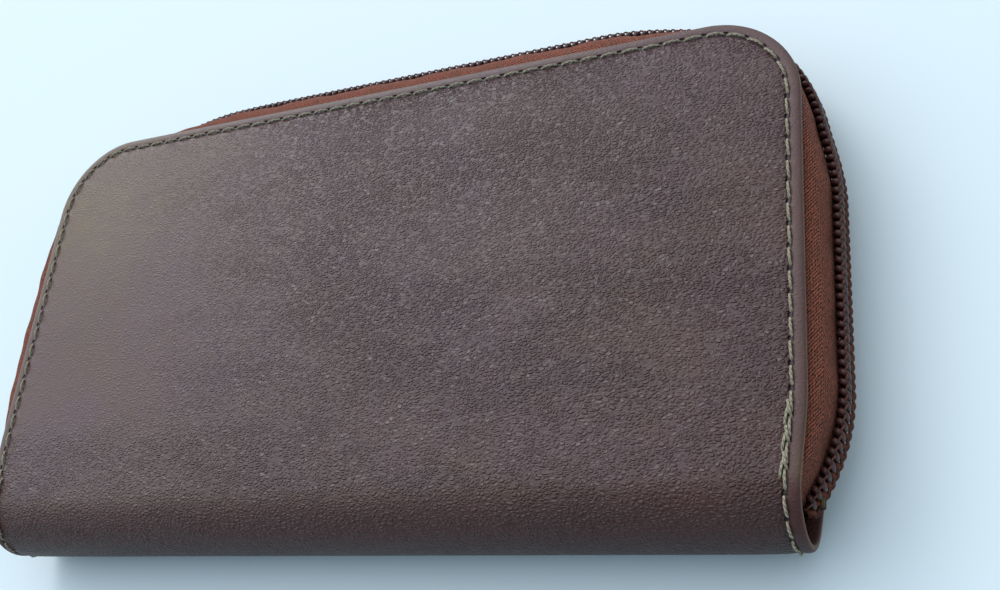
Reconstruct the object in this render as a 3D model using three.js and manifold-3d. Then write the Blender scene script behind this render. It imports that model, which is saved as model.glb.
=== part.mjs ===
// Zip-around leather case: two rigid leather covers and a zipped coin page, joined at a
// rounded spine and closed by one zip that runs round the other three sides.
// Millimetres, +Z up. The back cover lies on Z = 0, the spine runs along X on the -Y side,
// and the zip closes the -X, +Y and +X sides.

import * as THREE from 'three';
import { mergeVertices } from 'three/addons/utils/BufferGeometryUtils.js';
import Module from 'manifold-3d';

const wasm = await Module();
wasm.setup();

// ---- Driving dimensions ------------------------------------------------------------------

const LENGTH = 194; // along the spine
const WIDTH = 107; // from the spine's outside to the far leather edge
const HEIGHT = 22; // closed thickness
const CORNER_RADIUS = 20; // leather outline, two far corners
const LEATHER = 1.4; // leather thickness
const SPLIT_GAP = 0.15; // each half of the spine stops this far from the middle height

const STITCH_INSET = 3.4; // stitch line in from the leather edge
const THREAD_WIDTH = 0.8;
const GROOVE_WIDTH = 1.4;
const GROOVE_DEPTH = 0.6;
const THREAD_DEPTHS = [0.05, 0.3]; // below the leather's face

const BOARD_DEPTHS = [1.7, 2.7];
const BOARD_INSET = 9;
const LINING_DEPTHS = [3.0, 3.4];
const LINING_INSET = 5;

const POCKET_COUNT = 3;
const POCKET_FIRST_DEPTH = 3.7;
const POCKET_PITCH = 0.65; // depth from one card pocket to the next
const POCKET_THICKNESS = 0.35;
const POCKET_NEAR_Y = -36;
const POCKET_FIRST_MOUTH_Y = 38;
const POCKET_MOUTH_STEP = 12;
const POCKET_X = [1.5, 88]; // from the middle seam to the side

const ZIP_SIDE_BULGE = 4.0; // zip's middle, out from the leather edge, on the straight sides
const ZIP_CORNER_BULGE = -0.4; // at the tightest point of each corner
const ZIP_FAR_BULGE = 7.6; // along the far side
const ZIP_TUCK_START_Y = -24; // nearer the spine the zip curves in under the covers
const ZIP_TUCK_LENGTH = 26;
const ZIP_TUCK_DEPTH = 9.5; // how far in that curve reaches over its whole length
const ZIP_END_Y = -43; // both tapes end here, inside the spine
const ZIP_SPLIT = 0.9; // half the gap between the two chain halves
const COIL_HEIGHT = 1.8;
const COIL_HALF_THICKNESS = 0.8;
const TAPE_OFFSET = -1.35; // tape's middle, in from the chain's middle
const TAPE_THICKNESS = 0.5;
const TAPE_UPRIGHT = 5; // the tape stands upright this far from the middle height
const TAPE_FLANGE_INSET = 6.5; // flange held between leather and lining
const TAPE_FLANGE_DEPTH = 1.98;
const LEFT_COIL_END_Y = -25;
const TOP_STOP_LENGTH = 1.5;
const END_STOP_LENGTH = 2.4;

const GUSSET_THICKNESS = 0.35;
const GUSSET_OUTER_X = 91.3;
const GUSSET_FOLD_X = 75;
const GUSSET_Y = [-34, 34];
const GUSSET_DEPTHS = [5.65, 9.4];

const PAGE_WALL_DEPTHS = [9.7, 10.15];
const PAGE_HALF_LENGTH = 80;
const PAGE_Y = [-34, 41];
const PAGE_CORNER = 6;
const PAGE_TAPE_DEPTHS = [9.0, 9.4];
const PAGE_TAPE_Y = [35, 42.6];
const PAGE_TAPE_HALF_LENGTH = 77;
const PAGE_COIL_Y = [42.9, 44.1];
const PAGE_COIL_DEPTHS = [9.2, 10.35];
const PAGE_COIL_HALF_LENGTH = 74;

const SLIDER_REST_Y = -20;
const COIN_SLIDER_REST_X = -66;

// ---- Derived values ----------------------------------------------------------------------

const MID = HEIGHT / 2;
const HALF_LENGTH = LENGTH / 2;
const HALF_WIDTH = WIDTH / 2;
const SPINE_Y = -HALF_WIDTH + MID; // where the flat panels turn into the spine's arc
const CORNER_X = HALF_LENGTH - CORNER_RADIUS;
const CORNER_Y = HALF_WIDTH - CORNER_RADIUS;
const BACK = -1;
const FRONT = 1;
const SPINE_STEPS = 8;
const CORNER_STEPS = 8;

const COLOURS = {
  leather: 0x4a2f2a,
  thread: 0x8d8467,
  tape: 0x7a3c22,
  coil: 0x3a1d18,
  lining: 0x6b4a35,
  board: 0x9a8f7c,
  metal: 0x8a7448,
};

const materials = {
  leather: new THREE.MeshStandardMaterial({ color: COLOURS.leather, roughness: 0.5 }),
  thread: new THREE.MeshStandardMaterial({ color: COLOURS.thread, roughness: 0.9 }),
  tape: new THREE.MeshStandardMaterial({ color: COLOURS.tape, roughness: 0.9 }),
  coil: new THREE.MeshStandardMaterial({ color: COLOURS.coil, roughness: 0.35 }),
  lining: new THREE.MeshStandardMaterial({ color: COLOURS.lining, roughness: 0.85 }),
  board: new THREE.MeshStandardMaterial({ color: COLOURS.board, roughness: 0.95 }),
  metal: new THREE.MeshStandardMaterial({ color: COLOURS.metal, roughness: 0.3, metalness: 1 }),
};

// ---- Geometry helpers --------------------------------------------------------------------

// Height of a layer that lies "depth" below the outer face of the back or front cover.
function heightAt(side, depth) {
  return MID + side * (MID - depth);
}

function toSolid(geometry) {
  const bare = geometry.clone();
  bare.deleteAttribute('normal');
  bare.deleteAttribute('uv');
  const merged = mergeVertices(bare);
  return new wasm.Manifold(new wasm.Mesh({
    numProp: 3,
    vertProperties: new Float32Array(merged.attributes.position.array),
    triVerts: new Uint32Array(merged.index.array),
  }));
}

function toGeometry(solid) {
  const mesh = solid.getMesh();
  const geometry = new THREE.BufferGeometry();
  geometry.setAttribute('position', new THREE.BufferAttribute(mesh.vertProperties, 3));
  geometry.setIndex(new THREE.BufferAttribute(mesh.triVerts, 1));
  geometry.computeVertexNormals();
  return geometry;
}

function unite(geometries) {
  return toGeometry(geometries.map(toSolid).reduce((sum, solid) => sum.add(solid)));
}

function extrude(shape, depth, curveSegments = CORNER_STEPS) {
  return new THREE.ExtrudeGeometry(shape, { depth, bevelEnabled: false, curveSegments });
}

function box([x0, x1], [y0, y1], [z0, z1]) {
  const geometry = new THREE.BoxGeometry(x1 - x0, y1 - y0, z1 - z0);
  return geometry.translate((x0 + x1) / 2, (y0 + y1) / 2, (z0 + z1) / 2);
}

// Plan outline of a cover layer, set in from the leather edge, with two round far corners.
function coverOutline(inset, nearY) {
  const x = HALF_LENGTH - inset;
  const y = HALF_WIDTH - inset;
  const radius = CORNER_RADIUS - inset;
  const shape = new THREE.Shape();
  shape.moveTo(-x, nearY);
  shape.lineTo(x, nearY);
  shape.absarc(x - radius, y - radius, radius, 0, Math.PI / 2);
  shape.absarc(radius - x, y - radius, radius, Math.PI / 2, Math.PI);
  return shape;
}

// A flat layer of one cover, between two depths below that cover's outer face.
function coverLayer(shape, side, depths) {
  const heights = depths.map((depth) => heightAt(side, depth));
  const low = Math.min(...heights);
  return extrude(shape, Math.max(...heights) - low).translate(0, 0, low);
}

// A layer that runs flat over a cover and turns with the spine up to the middle height.
function turnedLayer(side, depths, inset) {
  const farY = HALF_WIDTH + 1;
  const profile = [[farY, heightAt(side, depths[0])]];
  const arc = (depth) => {
    const radius = MID - depth;
    const last = Math.PI / 2 - Math.asin(SPLIT_GAP / radius);
    return Array.from({ length: SPINE_STEPS + 1 }, (_, i) => {
      const angle = (last * i) / SPINE_STEPS;
      return [SPINE_Y - radius * Math.sin(angle), MID + side * radius * Math.cos(angle)];
    });
  };
  profile.push(...arc(depths[0]), ...arc(depths[1]).reverse());
  profile.push([farY, heightAt(side, depths[1])]);
  const section = new THREE.Shape(profile.map(([y, z]) => new THREE.Vector2(y, z)));
  const alongX = new THREE.Matrix4().makeBasis(
    new THREE.Vector3(0, 1, 0),
    new THREE.Vector3(0, 0, 1),
    new THREE.Vector3(1, 0, 0),
  );
  const bar = extrude(section, LENGTH).applyMatrix4(alongX).translate(-HALF_LENGTH, 0, 0);
  const plan = extrude(coverOutline(inset, -HALF_WIDTH - 1), HEIGHT + 2).translate(0, 0, -1);
  return toSolid(bar).intersect(toSolid(plan));
}

// A closed solid swept through stations. A station has an origin, a side direction and an
// up direction, and its section is a list of [side, up] distances.
function sweep(stations) {
  const flat = stations[0].section.map(([s, u]) => new THREE.Vector2(s, u));
  const clockwise = THREE.ShapeUtils.isClockWise(flat);
  if (clockwise) flat.reverse();
  const rings = stations.map(({ origin, side, up, section }) => {
    const ring = section.map(([s, u]) => (
      origin.clone().addScaledVector(side, s).addScaledVector(up, u)));
    return clockwise ? ring.reverse() : ring;
  });
  const count = flat.length;
  const positions = rings.flat().flatMap((point) => [point.x, point.y, point.z]);
  const triangles = [];
  for (let i = 0; i + 1 < rings.length; i += 1) {
    for (let j = 0; j < count; j += 1) {
      const a = i * count + j;
      const b = i * count + ((j + 1) % count);
      triangles.push(a, b, b + count, a, b + count, a + count);
    }
  }
  const last = (rings.length - 1) * count;
  for (const [a, b, c] of THREE.ShapeUtils.triangulateShape(flat, [])) {
    triangles.push(a, c, b, last + a, last + b, last + c);
  }
  const corner = (k) => new THREE.Vector3().fromArray(positions, 3 * triangles[k]);
  let volume = 0;
  for (let k = 0; k < triangles.length; k += 3) {
    volume += corner(k).dot(corner(k + 1).cross(corner(k + 2)));
  }
  if (volume < 0) triangles.reverse();
  const geometry = new THREE.BufferGeometry();
  geometry.setAttribute('position', new THREE.Float32BufferAttribute(positions, 3));
  geometry.setIndex(triangles);
  geometry.computeVertexNormals();
  return geometry;
}

// ---- Zip route ---------------------------------------------------------------------------

// Distances along one half of the zip, from its spine end to the middle of the far side.
const SIDE_RUN = CORNER_Y - ZIP_END_Y;
const CORNER_RUN = (CORNER_RADIUS * Math.PI) / 2;
const SIDE_HOLD_END = 57;
const CORNER_LOW = SIDE_RUN + 9.4;
const FAR_HOLD_START = CORNER_LOW + 48;

function zipBulge(run) {
  const { smoothstep } = THREE.MathUtils;
  const tuck = Math.max(ZIP_TUCK_START_Y - ZIP_END_Y - run, 0) / ZIP_TUCK_LENGTH;
  return ZIP_SIDE_BULGE - ZIP_TUCK_DEPTH * tuck ** 2
    + (ZIP_CORNER_BULGE - ZIP_SIDE_BULGE) * smoothstep(run, SIDE_HOLD_END, CORNER_LOW)
    + (ZIP_FAR_BULGE - ZIP_CORNER_BULGE) * smoothstep(run, CORNER_LOW, FAR_HOLD_START);
}

// A point of the leather outline at a distance along the right half, with its outward normal.
function outlineAt(run) {
  if (run <= SIDE_RUN) {
    return { x: HALF_LENGTH, y: ZIP_END_Y + run, nx: 1, ny: 0 };
  }
  const angle = Math.min((run - SIDE_RUN) / CORNER_RADIUS, Math.PI / 2);
  const nx = Math.cos(angle);
  const ny = Math.sin(angle);
  const past = Math.max(run - SIDE_RUN - CORNER_RUN, 0);
  return { x: CORNER_X + CORNER_RADIUS * nx - past, y: CORNER_Y + CORNER_RADIUS * ny, nx, ny };
}

function spread(from, to, steps) {
  return Array.from({ length: steps }, (_, i) => from + ((to - from) * i) / steps);
}

// Stations of the whole zip, from the right spine end round to the left one. The section
// function gets the bulge and returns [outward, up] distances from the outline at mid height.
function zipStations(section, rightStartY = ZIP_END_Y, leftEndY = ZIP_END_Y) {
  const halfRuns = (startY) => [
    ...spread(startY - ZIP_END_Y, SIDE_RUN, 14),
    ...spread(SIDE_RUN, SIDE_RUN + CORNER_RUN, CORNER_STEPS),
    ...spread(SIDE_RUN + CORNER_RUN, SIDE_RUN + CORNER_RUN + CORNER_X, 6),
  ];
  const station = (run, mirror) => {
    const { x, y, nx, ny } = outlineAt(run);
    return {
      origin: new THREE.Vector3(mirror * x, y, MID),
      side: new THREE.Vector3(mirror * nx, ny, 0),
      up: new THREE.Vector3(0, 0, 1),
      section: section(zipBulge(run)),
    };
  };
  const middle = SIDE_RUN + CORNER_RUN + CORNER_X;
  return [
    ...halfRuns(rightStartY).map((run) => station(run, 1)),
    station(middle, 1),
    ...halfRuns(leftEndY).reverse().map((run) => station(run, -1)),
  ];
}

function coilSection(side) {
  return (bulge) => {
    const inner = bulge - COIL_HALF_THICKNESS;
    const outer = bulge + COIL_HALF_THICKNESS;
    const near = side * ZIP_SPLIT;
    const far = side * (ZIP_SPLIT + COIL_HEIGHT);
    return [[inner, near], [outer, near], [outer, far], [inner, far]];
  };
}

// The tape's section: a flange under the leather, a slope outwards and an upright edge.
function tapeSection(side) {
  const flange = side * (MID - TAPE_FLANGE_DEPTH);
  const half = TAPE_THICKNESS / 2;
  return (bulge) => {
    const upright = bulge + TAPE_OFFSET;
    const turn = Math.min(upright, 0) - half;
    return [
      [-TAPE_FLANGE_INSET, flange + side * half],
      [turn + half, flange + side * half],
      [upright + half, side * TAPE_UPRIGHT],
      [upright + half, side * ZIP_SPLIT],
      [upright - half, side * ZIP_SPLIT],
      [upright - half, side * (TAPE_UPRIGHT - half)],
      [turn - half, flange - side * half],
      [-TAPE_FLANGE_INSET, flange - side * half],
    ];
  };
}

// A short block on the chain, such as a stop, at one end of the right or left half.
function chainBlock(mirror, y, length, bottom, top) {
  const bulge = zipBulge(y - ZIP_END_Y);
  const grow = 0.25; // a stop stands a little proud of the coil
  const xs = [bulge - COIL_HALF_THICKNESS, bulge + COIL_HALF_THICKNESS + grow]
    .map((out) => mirror * (HALF_LENGTH + out)).sort((a, b) => a - b);
  return box(xs, [y, y + length], [bottom, top]);
}

// ---- Stitch line -------------------------------------------------------------------------

// The stitch line climbs the spine's end, runs round the cover and goes down the other end.
function stitchStations(side, halfWidth, depths, spineDepths = depths) {
  const rightX = HALF_LENGTH - STITCH_INSET;
  const radius = CORNER_RADIUS - STITCH_INSET;
  const section = ([from, to]) => [
    [-halfWidth, -from], [halfWidth, -from], [halfWidth, -to], [-halfWidth, -to],
  ];
  const last = Math.PI / 2 - Math.asin((SPLIT_GAP + 0.35) / MID);
  const half = [];
  for (let i = 0; i < SPINE_STEPS; i += 1) {
    const angle = last * (1 - i / SPINE_STEPS);
    half.push({
      origin: [rightX, SPINE_Y - MID * Math.sin(angle), MID + side * MID * Math.cos(angle)],
      side: [1, 0, 0],
      up: [0, -Math.sin(angle), side * Math.cos(angle)],
      section: section(spineDepths),
    });
  }
  for (let i = 0; i <= CORNER_STEPS; i += 1) {
    const angle = (Math.PI / 2) * (i / CORNER_STEPS);
    const out = [Math.cos(angle), Math.sin(angle)];
    half.push({
      origin: [CORNER_X + radius * out[0], CORNER_Y + radius * out[1], MID + side * MID],
      side: [out[0], out[1], 0],
      up: [0, 0, side],
      section: section(depths),
    });
  }
  const vectors = (mirror) => ({ origin, side: out, up, section: ring }) => ({
    origin: new THREE.Vector3(mirror * origin[0], origin[1], origin[2]),
    side: new THREE.Vector3(mirror * out[0], out[1], out[2]),
    up: new THREE.Vector3(...up),
    section: ring,
  });
  return [...half.map(vectors(1)), ...[...half].reverse().map(vectors(-1))];
}

// ---- Cover pieces ------------------------------------------------------------------------

function coverLeather(side) {
  const groove = sweep(stitchStations(side, GROOVE_WIDTH / 2, [-0.5, GROOVE_DEPTH]));
  return toGeometry(turnedLayer(side, [0, LEATHER], 0).subtract(toSolid(groove)));
}

function cardPocket(side, index, mirror) {
  const depth = POCKET_FIRST_DEPTH + index * POCKET_PITCH;
  const mouth = POCKET_FIRST_MOUTH_Y - index * POCKET_MOUTH_STEP;
  const xs = POCKET_X.map((x) => mirror * x).sort((a, b) => a - b);
  const zs = [depth, depth + POCKET_THICKNESS].map((d) => heightAt(side, d));
  return box(xs, [POCKET_NEAR_Y, mouth], zs.sort((a, b) => a - b));
}

// A V-shaped pleat between a cover and the coin page, open towards the side.
function gusset(side, mirror) {
  const [outer, inner] = GUSSET_DEPTHS.map((depth) => heightAt(side, depth));
  const fold = (outer + inner) / 2;
  const t = side * GUSSET_THICKNESS;
  const section = new THREE.Shape([
    [GUSSET_OUTER_X, outer], [GUSSET_FOLD_X, fold + t / 2], [GUSSET_FOLD_X, fold - t / 2],
    [GUSSET_OUTER_X, inner], [GUSSET_OUTER_X, inner + t],
    [GUSSET_FOLD_X + 2, fold], [GUSSET_OUTER_X, outer - t],
  ].map(([x, z]) => new THREE.Vector2(mirror * x, z)));
  const alongY = new THREE.Matrix4().makeBasis(
    new THREE.Vector3(1, 0, 0),
    new THREE.Vector3(0, 0, 1),
    new THREE.Vector3(0, -1, 0),
  );
  const length = GUSSET_Y[1] - GUSSET_Y[0];
  return extrude(section, length).applyMatrix4(alongY).translate(0, GUSSET_Y[1], 0);
}

// ---- Coin page pieces --------------------------------------------------------------------

function pageWall(side) {
  const x = PAGE_HALF_LENGTH;
  const [near, far] = PAGE_Y;
  const shape = new THREE.Shape();
  shape.moveTo(-x, far);
  shape.absarc(PAGE_CORNER - x, near + PAGE_CORNER, PAGE_CORNER, Math.PI, Math.PI * 1.5);
  shape.absarc(x - PAGE_CORNER, near + PAGE_CORNER, PAGE_CORNER, -Math.PI / 2, 0);
  shape.lineTo(x, far);
  return coverLayer(shape, side, PAGE_WALL_DEPTHS);
}

// The page's tape lies on the wall and turns up behind the chain.
function pageTape(side) {
  const thickness = PAGE_TAPE_DEPTHS[1] - PAGE_TAPE_DEPTHS[0];
  const [near, far] = PAGE_TAPE_Y;
  const xs = [-PAGE_TAPE_HALF_LENGTH, PAGE_TAPE_HALF_LENGTH];
  const leaf = (ys, depths) => {
    const zs = depths.map((depth) => heightAt(side, depth)).sort((a, b) => a - b);
    return box(xs, ys, zs);
  };
  return unite([
    leaf([near, far], PAGE_TAPE_DEPTHS),
    leaf([far - thickness, far], [PAGE_TAPE_DEPTHS[0], PAGE_COIL_DEPTHS[1]]),
  ]);
}

function pageCoil(side) {
  const zs = PAGE_COIL_DEPTHS.map((depth) => heightAt(side, depth)).sort((a, b) => a - b);
  return box([-PAGE_COIL_HALF_LENGTH, PAGE_COIL_HALF_LENGTH], PAGE_COIL_Y, zs);
}

function pageStop(mirror) {
  const from = mirror * (PAGE_COIL_HALF_LENGTH + 0.3);
  const xs = [from, from + mirror * 1.6].sort((a, b) => a - b);
  return box(xs, PAGE_COIL_Y, [heightAt(BACK, 9.2), heightAt(FRONT, 9.2)]);
}

// ---- Sliders and pulls -------------------------------------------------------------------

// Sizes of a slider in its own axes: X along its travel, Y outwards from the chain's middle
// and Z across the chain, with its origin on the chain's middle line.
const MAIN_SLIDER = {
  halfLength: 4.5,
  innerPlate: [-2.8, -2.0],
  innerHalfHeight: 3.2,
  outerPlate: [1.2, 2.0],
  outerHalfHeight: 3.8,
  post: [-4.2, -1.0],
  postHalfHeight: 0.5,
  lip: [-3.8, -3.0],
  lipInner: -0.2,
  pin: 2.9,
  pinRadius: 0.6,
  archInner: 3.8,
  archOuter: 4.6,
  archLeg: [2.6, 3.4],
  archHalfHeight: 0.8,
  tabLength: 24,
  tabHoleEnd: 4.1,
  tabHalfThickness: 0.5,
  tabHalfHeight: 2.6,
  tabHoleHalfHeight: 1.2,
};

const COIN_SLIDER = {
  ...MAIN_SLIDER,
  halfLength: 3.4,
  innerPlate: [-2.2, -1.6],
  innerHalfHeight: 1.2,
  outerPlate: [0.9, 1.5],
  outerHalfHeight: 2.5,
  post: [-3.2, -0.8],
  postHalfHeight: 0.33,
  lip: null,
  pin: 2.2,
  pinRadius: 0.4,
  archInner: 2.9,
  archOuter: 3.5,
  archLeg: [1.8, 2.4],
  archHalfHeight: 0.6,
  tabLength: 10.5,
  tabHoleEnd: 3.0,
  tabHalfThickness: 0.35,
  tabHalfHeight: 1.9,
  tabHoleHalfHeight: 1.0,
};

// Two plates round the chain, joined by a post in the middle, with an arch for the pull.
function sliderBody(size) {
  const along = [-size.halfLength, size.halfLength];
  const high = (half) => [-half, half];
  const overlap = 0.05;
  const pieces = [
    box(along, size.innerPlate, high(size.innerHalfHeight)),
    box(along, size.outerPlate, high(size.outerHalfHeight)),
    box(size.post, [size.innerPlate[1] - overlap, size.outerPlate[0] + overlap],
      high(size.postHalfHeight)),
    box([-size.archLeg[1], size.archLeg[1]], [size.archInner, size.archOuter],
      high(size.archHalfHeight)),
  ];
  for (const end of [-1, 1]) {
    const xs = size.archLeg.map((x) => end * x).sort((a, b) => a - b);
    pieces.push(box(xs, [size.outerPlate[1] - overlap, size.archOuter],
      high(size.archHalfHeight)));
  }
  if (size.lip) {
    pieces.push(box(along, [size.lipInner, size.outerPlate[1]], size.lip));
  }
  return unite(pieces);
}

// The tab hangs on a round bar that lies under the slider's arch.
function pullTab(size) {
  const { tabHalfThickness: t, tabHalfHeight: h, tabLength, tabHoleEnd, pinRadius } = size;
  const round = 3 * t;
  const outline = new THREE.Shape();
  outline.moveTo(0, -h);
  outline.absarc(tabLength - round, round - h, round, -Math.PI / 2, 0);
  outline.absarc(tabLength - round, h - round, round, 0, Math.PI / 2);
  outline.lineTo(0, h);
  const lying = new THREE.Matrix4().makeBasis(
    new THREE.Vector3(1, 0, 0),
    new THREE.Vector3(0, 0, 1),
    new THREE.Vector3(0, -1, 0),
  );
  const plate = extrude(outline, 2 * t, 4).applyMatrix4(lying).translate(0, size.pin + t, 0);
  const hole = box([-1, tabHoleEnd], [size.pin - 2, size.pin + 2],
    [-size.tabHoleHalfHeight, size.tabHoleHalfHeight]);
  const bar = new THREE.CylinderGeometry(pinRadius, pinRadius, 2 * h, 12)
    .rotateX(Math.PI / 2).translate(0, size.pin, 0);
  return toGeometry(toSolid(plate).subtract(toSolid(hole)).add(toSolid(bar)));
}

// ---- Assembly ----------------------------------------------------------------------------

const caseGroup = new THREE.Group();

function piece(parent, name, geometry, material) {
  const mesh = new THREE.Mesh(geometry, material);
  mesh.name = name;
  parent.add(mesh);
  return mesh;
}

function addCover(side, label) {
  const cover = new THREE.Group();
  piece(cover, `${label}_cover_leather`, coverLeather(side), materials.leather);
  piece(cover, `${label}_stiffener_board`,
    coverLayer(coverOutline(BOARD_INSET, SPINE_Y + 4.5), side, BOARD_DEPTHS), materials.board);
  piece(cover, `${label}_lining`,
    toGeometry(turnedLayer(side, LINING_DEPTHS, LINING_INSET)), materials.lining);
  piece(cover, `${label}_stitching`,
    sweep(stitchStations(side, THREAD_WIDTH / 2, THREAD_DEPTHS)), materials.thread);
  for (const [hand, mirror] of [['left', -1], ['right', 1]]) {
    for (let index = 0; index < POCKET_COUNT; index += 1) {
      piece(cover, `${label}_card_pocket_${hand}_${index + 1}`,
        cardPocket(side, index, mirror), materials.leather);
    }
    piece(cover, `${label}_gusset_${hand}`, gusset(side, mirror), materials.lining);
  }
  piece(cover, `${label}_zip_tape`, sweep(zipStations(tapeSection(side))), materials.tape);
  piece(cover, `${label}_zip_coil`,
    sweep(zipStations(coilSection(side), ZIP_END_Y, LEFT_COIL_END_Y)), materials.coil);
  const near = MID + side * ZIP_SPLIT;
  const far = MID + side * (ZIP_SPLIT + COIL_HEIGHT);
  piece(cover, `${label}_zip_top_stop`,
    chainBlock(-1, LEFT_COIL_END_Y - TOP_STOP_LENGTH - 0.3, TOP_STOP_LENGTH,
      Math.min(near, far), Math.max(near, far)), materials.metal);
  caseGroup.add(cover);
}

function addCoinPage() {
  const page = new THREE.Group();
  for (const [side, label] of [[BACK, 'back'], [FRONT, 'front']]) {
    piece(page, `coin_page_wall_${label}`, pageWall(side), materials.lining);
    piece(page, `coin_zip_tape_${label}`, pageTape(side), materials.tape);
    piece(page, `coin_zip_coil_${label}`, pageCoil(side), materials.coil);
  }
  piece(page, 'coin_zip_stop_left', pageStop(-1), materials.metal);
  piece(page, 'coin_zip_stop_right', pageStop(1), materials.metal);
  caseGroup.add(page);
}

function addSlider(size, prefix, position, turn) {
  const slider = new THREE.Group();
  slider.position.copy(position);
  slider.rotation.z = turn;
  piece(slider, `${prefix}_slider`, sliderBody(size), materials.metal);
  piece(slider, `${prefix}_pull_tab`, pullTab(size), materials.metal);
  caseGroup.add(slider);
}

addCover(BACK, 'back');
addCover(FRONT, 'front');
addCoinPage();
const endStopX = HALF_LENGTH + zipBulge(0);
piece(caseGroup, 'zip_end_stop',
  box([endStopX - 0.5, endStopX + 0.5],
    [ZIP_END_Y - 0.3 - END_STOP_LENGTH, ZIP_END_Y - 0.3],
    [MID - ZIP_SPLIT - COIL_HEIGHT, MID - 0.3]), materials.metal);
addSlider(MAIN_SLIDER, 'zip',
  new THREE.Vector3(-HALF_LENGTH - ZIP_SIDE_BULGE, SLIDER_REST_Y, MID), Math.PI / 2);
addSlider(COIN_SLIDER, 'coin',
  new THREE.Vector3(COIN_SLIDER_REST_X, (PAGE_COIL_Y[0] + PAGE_COIL_Y[1]) / 2, MID), 0);

export default caseGroup;
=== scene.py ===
"""Leather zip-around case: the finished look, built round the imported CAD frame.

Lengths are in millimetres until a mesh is made. X runs along the spine, Y from the spine to
the opening side and Z up. A point on a cover is given by x and v, where v is the distance
round the spine from its middle line, and by its height over the leather's nominal face.
"""
import math

import bmesh
import bpy
import numpy as np
from mathutils import Matrix, Vector


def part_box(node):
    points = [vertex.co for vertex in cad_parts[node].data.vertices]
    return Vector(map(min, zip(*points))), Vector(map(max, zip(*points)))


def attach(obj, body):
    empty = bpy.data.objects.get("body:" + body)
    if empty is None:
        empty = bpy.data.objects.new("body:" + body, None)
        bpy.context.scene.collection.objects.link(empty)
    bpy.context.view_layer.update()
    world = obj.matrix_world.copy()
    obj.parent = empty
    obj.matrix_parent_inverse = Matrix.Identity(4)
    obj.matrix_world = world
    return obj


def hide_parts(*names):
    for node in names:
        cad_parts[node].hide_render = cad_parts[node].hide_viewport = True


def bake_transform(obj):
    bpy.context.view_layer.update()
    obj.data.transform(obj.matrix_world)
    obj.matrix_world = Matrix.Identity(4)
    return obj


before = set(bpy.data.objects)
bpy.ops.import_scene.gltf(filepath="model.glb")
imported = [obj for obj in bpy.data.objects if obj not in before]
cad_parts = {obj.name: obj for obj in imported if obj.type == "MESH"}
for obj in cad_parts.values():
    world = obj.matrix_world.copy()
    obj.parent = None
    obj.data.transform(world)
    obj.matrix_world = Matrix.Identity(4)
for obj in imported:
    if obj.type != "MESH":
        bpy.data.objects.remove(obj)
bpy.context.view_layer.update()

MM = 0.001
FRONT, BACK = 1, -1
SIDE_NAMES = {FRONT: "front", BACK: "back"}
COVER_BODY = {FRONT: "front_cover", BACK: "back_cover"}
HANDS = {"left": -1, "right": 1}


def node_box(node):
    """A CAD node's lowest and highest corners, in millimetres."""
    low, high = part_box(node)
    return np.array(low) / MM, np.array(high) / MM


# ---- Sizes ----

LEATHER_LOW, LEATHER_HIGH = node_box("front_cover_leather")
HALF_LENGTH, FAR_Y, HEIGHT = LEATHER_HIGH
MID = HEIGHT / 2
SPINE_Y = LEATHER_LOW[1] + MID  # the flat panels turn into the spine here
QUARTER = MID * math.pi / 2  # half of the spine's arc
CORNER_RADIUS = 20.0
CORNER_X = HALF_LENGTH - CORNER_RADIUS
CORNER_Y = FAR_Y - CORNER_RADIUS
FAR_V = QUARTER + FAR_Y - SPINE_Y
CORNER_V = FAR_V - CORNER_RADIUS

SPINE_TAPER = 1.7  # the cover is this much shorter, on each side, at the spine
EDGE_TRIM = 0.8  # the turned leather edge lies this far inside the CAD outline
STITCH_INSET = 3.4
STITCH_PITCH = 4.6
THREAD_RADIUS = 0.27

ZIP_SIDE_BULGE = 4.0  # middle of the chain, out from the leather edge
ZIP_CORNER_BULGE = -0.4
ZIP_FAR_BULGE = 7.6
ZIP_TUCK_START_Y = -24.0
ZIP_TUCK_LENGTH = 26.0
ZIP_TUCK_DEPTH = 9.5
ZIP_SIDE_HOLD_END_Y = 14.0
ZIP_CORNER_LOW = 9.4  # distance round the corner to the tightest point
ZIP_FAR_RISE = 48.0
ZIP_START_Y = -47.5  # both ends run on inside the spine
COIL_PITCH = 1.85
PAGE_CORNER_RADIUS = 6.0
POCKET_HEM = 3.2
POCKET_STITCH_INSET = 1.9
PAGE_STITCH_INSET = 2.2
SEAM_RADIUS = 0.13
LEFT_SLACK = 6.0  # how far the tape is pushed out under the left edge
LEFT_DIP, LEFT_DIP_X, LEFT_DIP_WIDTH = 1.3, -68, 15  # the far side's chain comes in here
TAPE_OFFSET = -1.15  # the tape's middle lies this far in from the chain's middle
TAPE_THICKNESS = 0.45
CHAIN_END_Y = -25  # on the left side; the zip's closed end
LINING_INSET = 5.0

SLIDER_Y = sum(node_box("zip_slider"))[1] / 2

rng = np.random.default_rng(20)


def smooth(x, low, high):
    """Rises from 0 at low to 1 at high with no corner."""
    t = np.clip((np.asarray(x, float) - low) / (high - low), 0, 1)
    return t * t * (3 - 2 * t)


def power(value, exponent):
    """A power that keeps the value's sign."""
    return np.sign(value) * np.abs(value) ** exponent


# ---- Mesh building ----


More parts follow.
